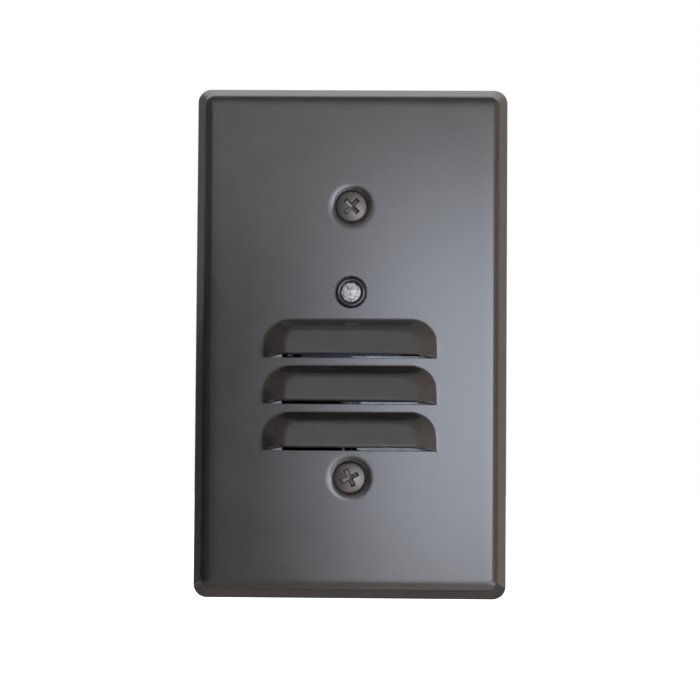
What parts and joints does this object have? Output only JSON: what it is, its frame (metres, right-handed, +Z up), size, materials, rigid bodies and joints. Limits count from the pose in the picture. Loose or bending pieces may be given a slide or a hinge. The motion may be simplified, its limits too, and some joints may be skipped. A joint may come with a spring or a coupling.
{
  "type": "step light",
  "caption": "Louvred single-gang step light: dark bronze wall plate with hooded slots over an LED device, dusk sensor and screw terminals.",
  "frame": {"origin": "centre of the plate on the wall plane, midway between the two box screws", "axes": "+Z up along the plate's height, +Y into the wall along the box screws, +X to the right as seen from the front"},
  "size_m": [0.0698, 0.0377, 0.1142],
  "materials": {
    "bronze_paint": "satin dark bronze powder coat",
    "black_rubber": "matte EPDM",
    "bronze_screw": "antique bronze plate, worn at the recess",
    "zinc_steel": "zinc plated",
    "zinc_screw": "zinc plated",
    "fibre": "vulcanised fibre",
    "white_plastic": "fine moulded texture",
    "clear_plastic": "clear, polished",
    "chrome_plating": "bright plated",
    "white_board": "white solder mask",
    "lamp_chip": "phosphor in a white case",
    "green_board": "green solder mask",
    "black_plastic": "moulded",
    "cell_body": "translucent",
    "brass": "bright",
    "nickel": "nickel plated",
    "green_screw": "green dyed zinc",
    "film_box": "moulded box",
    "capacitor_sleeve": "shrink sleeve",
    "fuse_body": "moulded",
    "varistor_lacquer": "epoxy dip"
  },
  "bodies": {
    "device": {"mounting_strap": "zinc_steel", "box_screw_retainers": "fibre", "front_carrier": "white_plastic", "light_lens": "clear_plastic", "lens_seal": "black_rubber", "reflector": "chrome_plating", "led_board": "white_board", "led_chips": "lamp_chip", "driver_board": "green_board", "board_link_header": "black_plastic", "photocell_lens": "clear_plastic", "photocell": "cell_body", "photocell_sleeve": "black_rubber", "rear_housing": "black_plastic", "housing_screws": "zinc_screw", "line_terminal": "brass", "neutral_terminal": "nickel", "dropper_capacitor": "film_box", "smoothing_capacitor": "capacitor_sleeve", "fuse": "fuse_body", "bridge_rectifier": "black_plastic", "varistor": "varistor_lacquer", "driver_chip": "black_plastic", "resistors": "black_plastic"},
    "cover": {"faceplate": "bronze_paint", "plate_gasket": "black_rubber"},
    "upper_plate_screw": {"plate_screw_upper": "bronze_screw"},
    "lower_plate_screw": {"plate_screw_lower": "bronze_screw"},
    "upper_box_screw": {"box_screw_upper": "zinc_screw"},
    "lower_box_screw": {"box_screw_lower": "zinc_screw"},
    "line_clamp": {"line_pressure_plate": "brass"},
    "line_screw": {"line_terminal_screw": "brass"},
    "neutral_clamp": {"neutral_pressure_plate": "nickel"},
    "neutral_screw": {"neutral_terminal_screw": "nickel"},
    "ground_clamp": {"ground_pressure_plate": "zinc_steel"},
    "ground_terminal_screw": {"ground_screw": "green_screw"}
  },
  "joints": [
    {"name": "cover_lift", "type": "slide", "parent": "device", "child": "cover", "axis": [0, -1, 0], "range_m": [0, 0.03]},
    {"name": "upper_plate_screw_turn", "type": "hinge", "parent": "cover", "child": "upper_plate_screw", "pos_m": [0, -0.0048, 0.03016], "axis": [0, 1, 0], "continuous": true},
    {"name": "lower_plate_screw_turn", "type": "hinge", "parent": "cover", "child": "lower_plate_screw", "pos_m": [0, -0.0048, -0.03016], "axis": [0, 1, 0], "continuous": true},
    {"name": "upper_box_screw_turn", "type": "hinge", "parent": "device", "child": "upper_box_screw", "pos_m": [0, -0.0013, 0.04165], "axis": [0, 1, 0], "continuous": true},
    {"name": "lower_box_screw_turn", "type": "hinge", "parent": "device", "child": "lower_box_screw", "pos_m": [0, -0.0013, -0.04165], "axis": [0, 1, 0], "continuous": true},
    {"name": "line_clamp_travel", "type": "slide", "parent": "device", "child": "line_clamp", "axis": [1, 0, 0], "range_m": [0, 0.00238]},
    {"name": "line_screw_turn", "type": "hinge", "parent": "line_clamp", "child": "line_screw", "pos_m": [0.0181, 0.0215, 0], "axis": [1, 0, 0], "range_deg": [0, 1080]},
    {"name": "neutral_clamp_travel", "type": "slide", "parent": "device", "child": "neutral_clamp", "axis": [-1, 0, 0], "range_m": [0, 0.00238]},
    {"name": "neutral_screw_turn", "type": "hinge", "parent": "neutral_clamp", "child": "neutral_screw", "pos_m": [-0.0181, 0.0215, 0], "axis": [-1, 0, 0], "range_deg": [0, 1080]},
    {"name": "ground_clamp_travel", "type": "slide", "parent": "device", "child": "ground_clamp", "axis": [-1, 0, 0], "range_m": [0, 0.00238]},
    {"name": "ground_screw_turn", "type": "hinge", "parent": "ground_clamp", "child": "ground_terminal_screw", "pos_m": [-0.0168, 0.0066, -0.0352], "axis": [-1, 0, 0], "range_deg": [0, 1080]}
  ],
  "couplings": [
    {"joint": "line_screw_turn", "follows": "line_clamp_travel", "rad_per_m": 7915.8},
    {"joint": "neutral_screw_turn", "follows": "neutral_clamp_travel", "rad_per_m": 7915.8},
    {"joint": "ground_screw_turn", "follows": "ground_clamp_travel", "rad_per_m": 7915.8}
  ]
}
